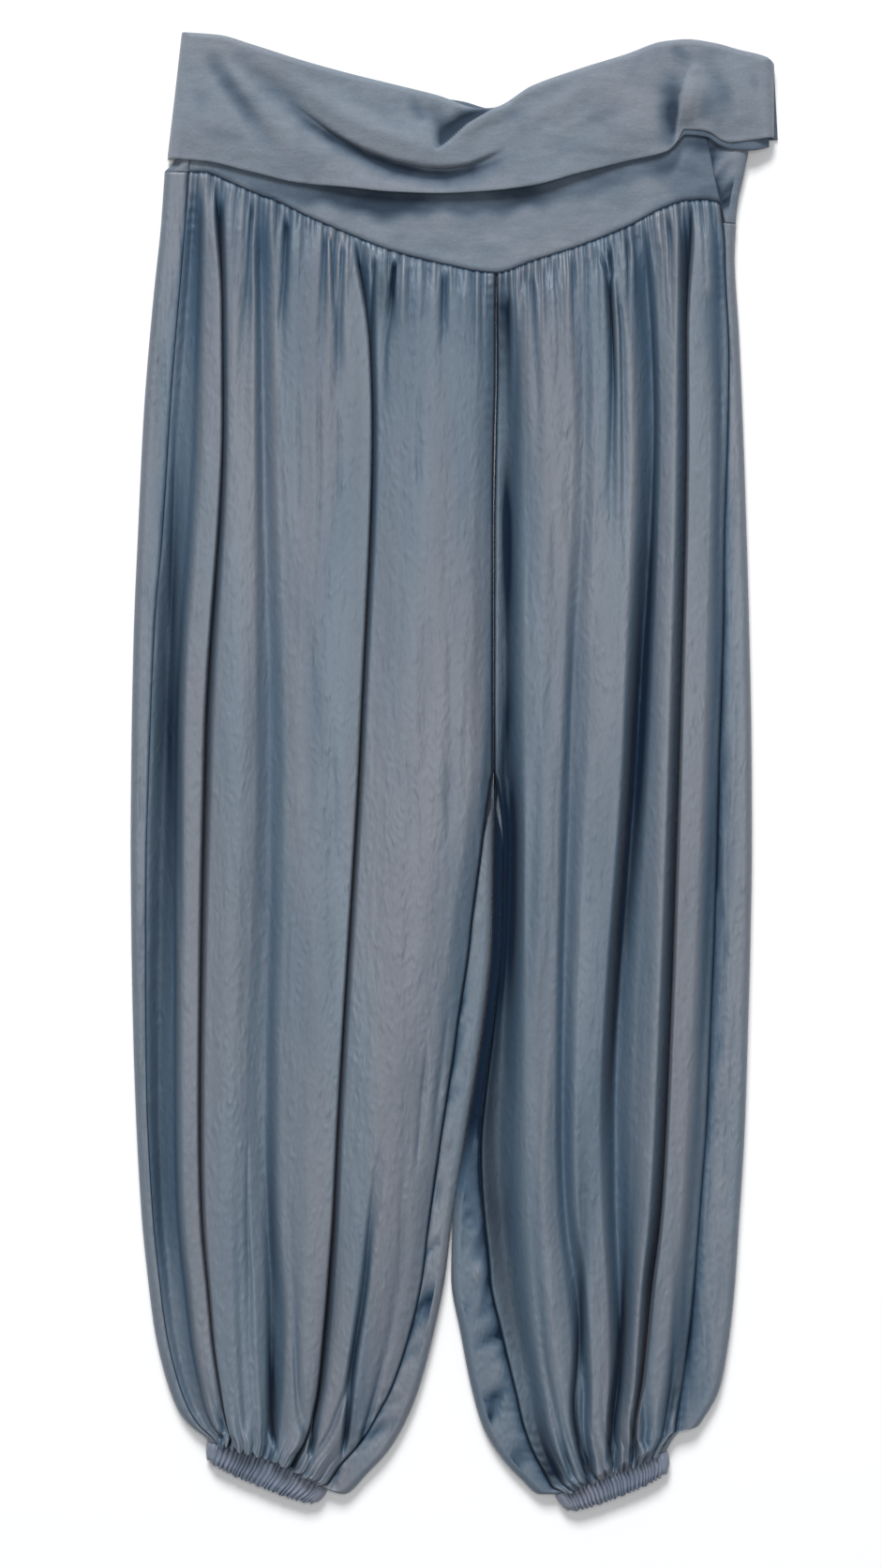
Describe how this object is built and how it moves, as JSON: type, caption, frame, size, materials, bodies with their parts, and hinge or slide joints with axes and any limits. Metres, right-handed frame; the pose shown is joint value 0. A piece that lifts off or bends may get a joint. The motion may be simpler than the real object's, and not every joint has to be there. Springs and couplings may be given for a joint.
{
  "type": "harem pants",
  "caption": "Wide gathered harem pants laid flat, with a folded-over jersey waistband, a pointed yoke and ribbed elastic cuffs.",
  "frame": {"origin": "on the surface the garment lies on, under the centre of its outline", "axes": "+X to the viewer's right, +Y up the garment to the waist, +Z away from the surface, out of the front"},
  "size_m": [0.441, 1.0063, 0.0224],
  "materials": {
    "leg_cloth": "silky, shot slate blue and mauve grey",
    "band_jersey": "matte fine jersey",
    "cuff_cloth": "ribbed over elastic, soft sheen"
  },
  "bodies": {
    "root": {"band_front": "band_jersey", "band_back": "band_jersey", "flap_front": "band_jersey", "flap_front_under": "band_jersey", "flap_back": "band_jersey", "leg_left_front": "leg_cloth", "leg_left_back": "leg_cloth", "leg_right_front": "leg_cloth", "leg_right_back": "leg_cloth", "cuff_left": "cuff_cloth", "cuff_right": "cuff_cloth"}
  },
  "joints": []
}
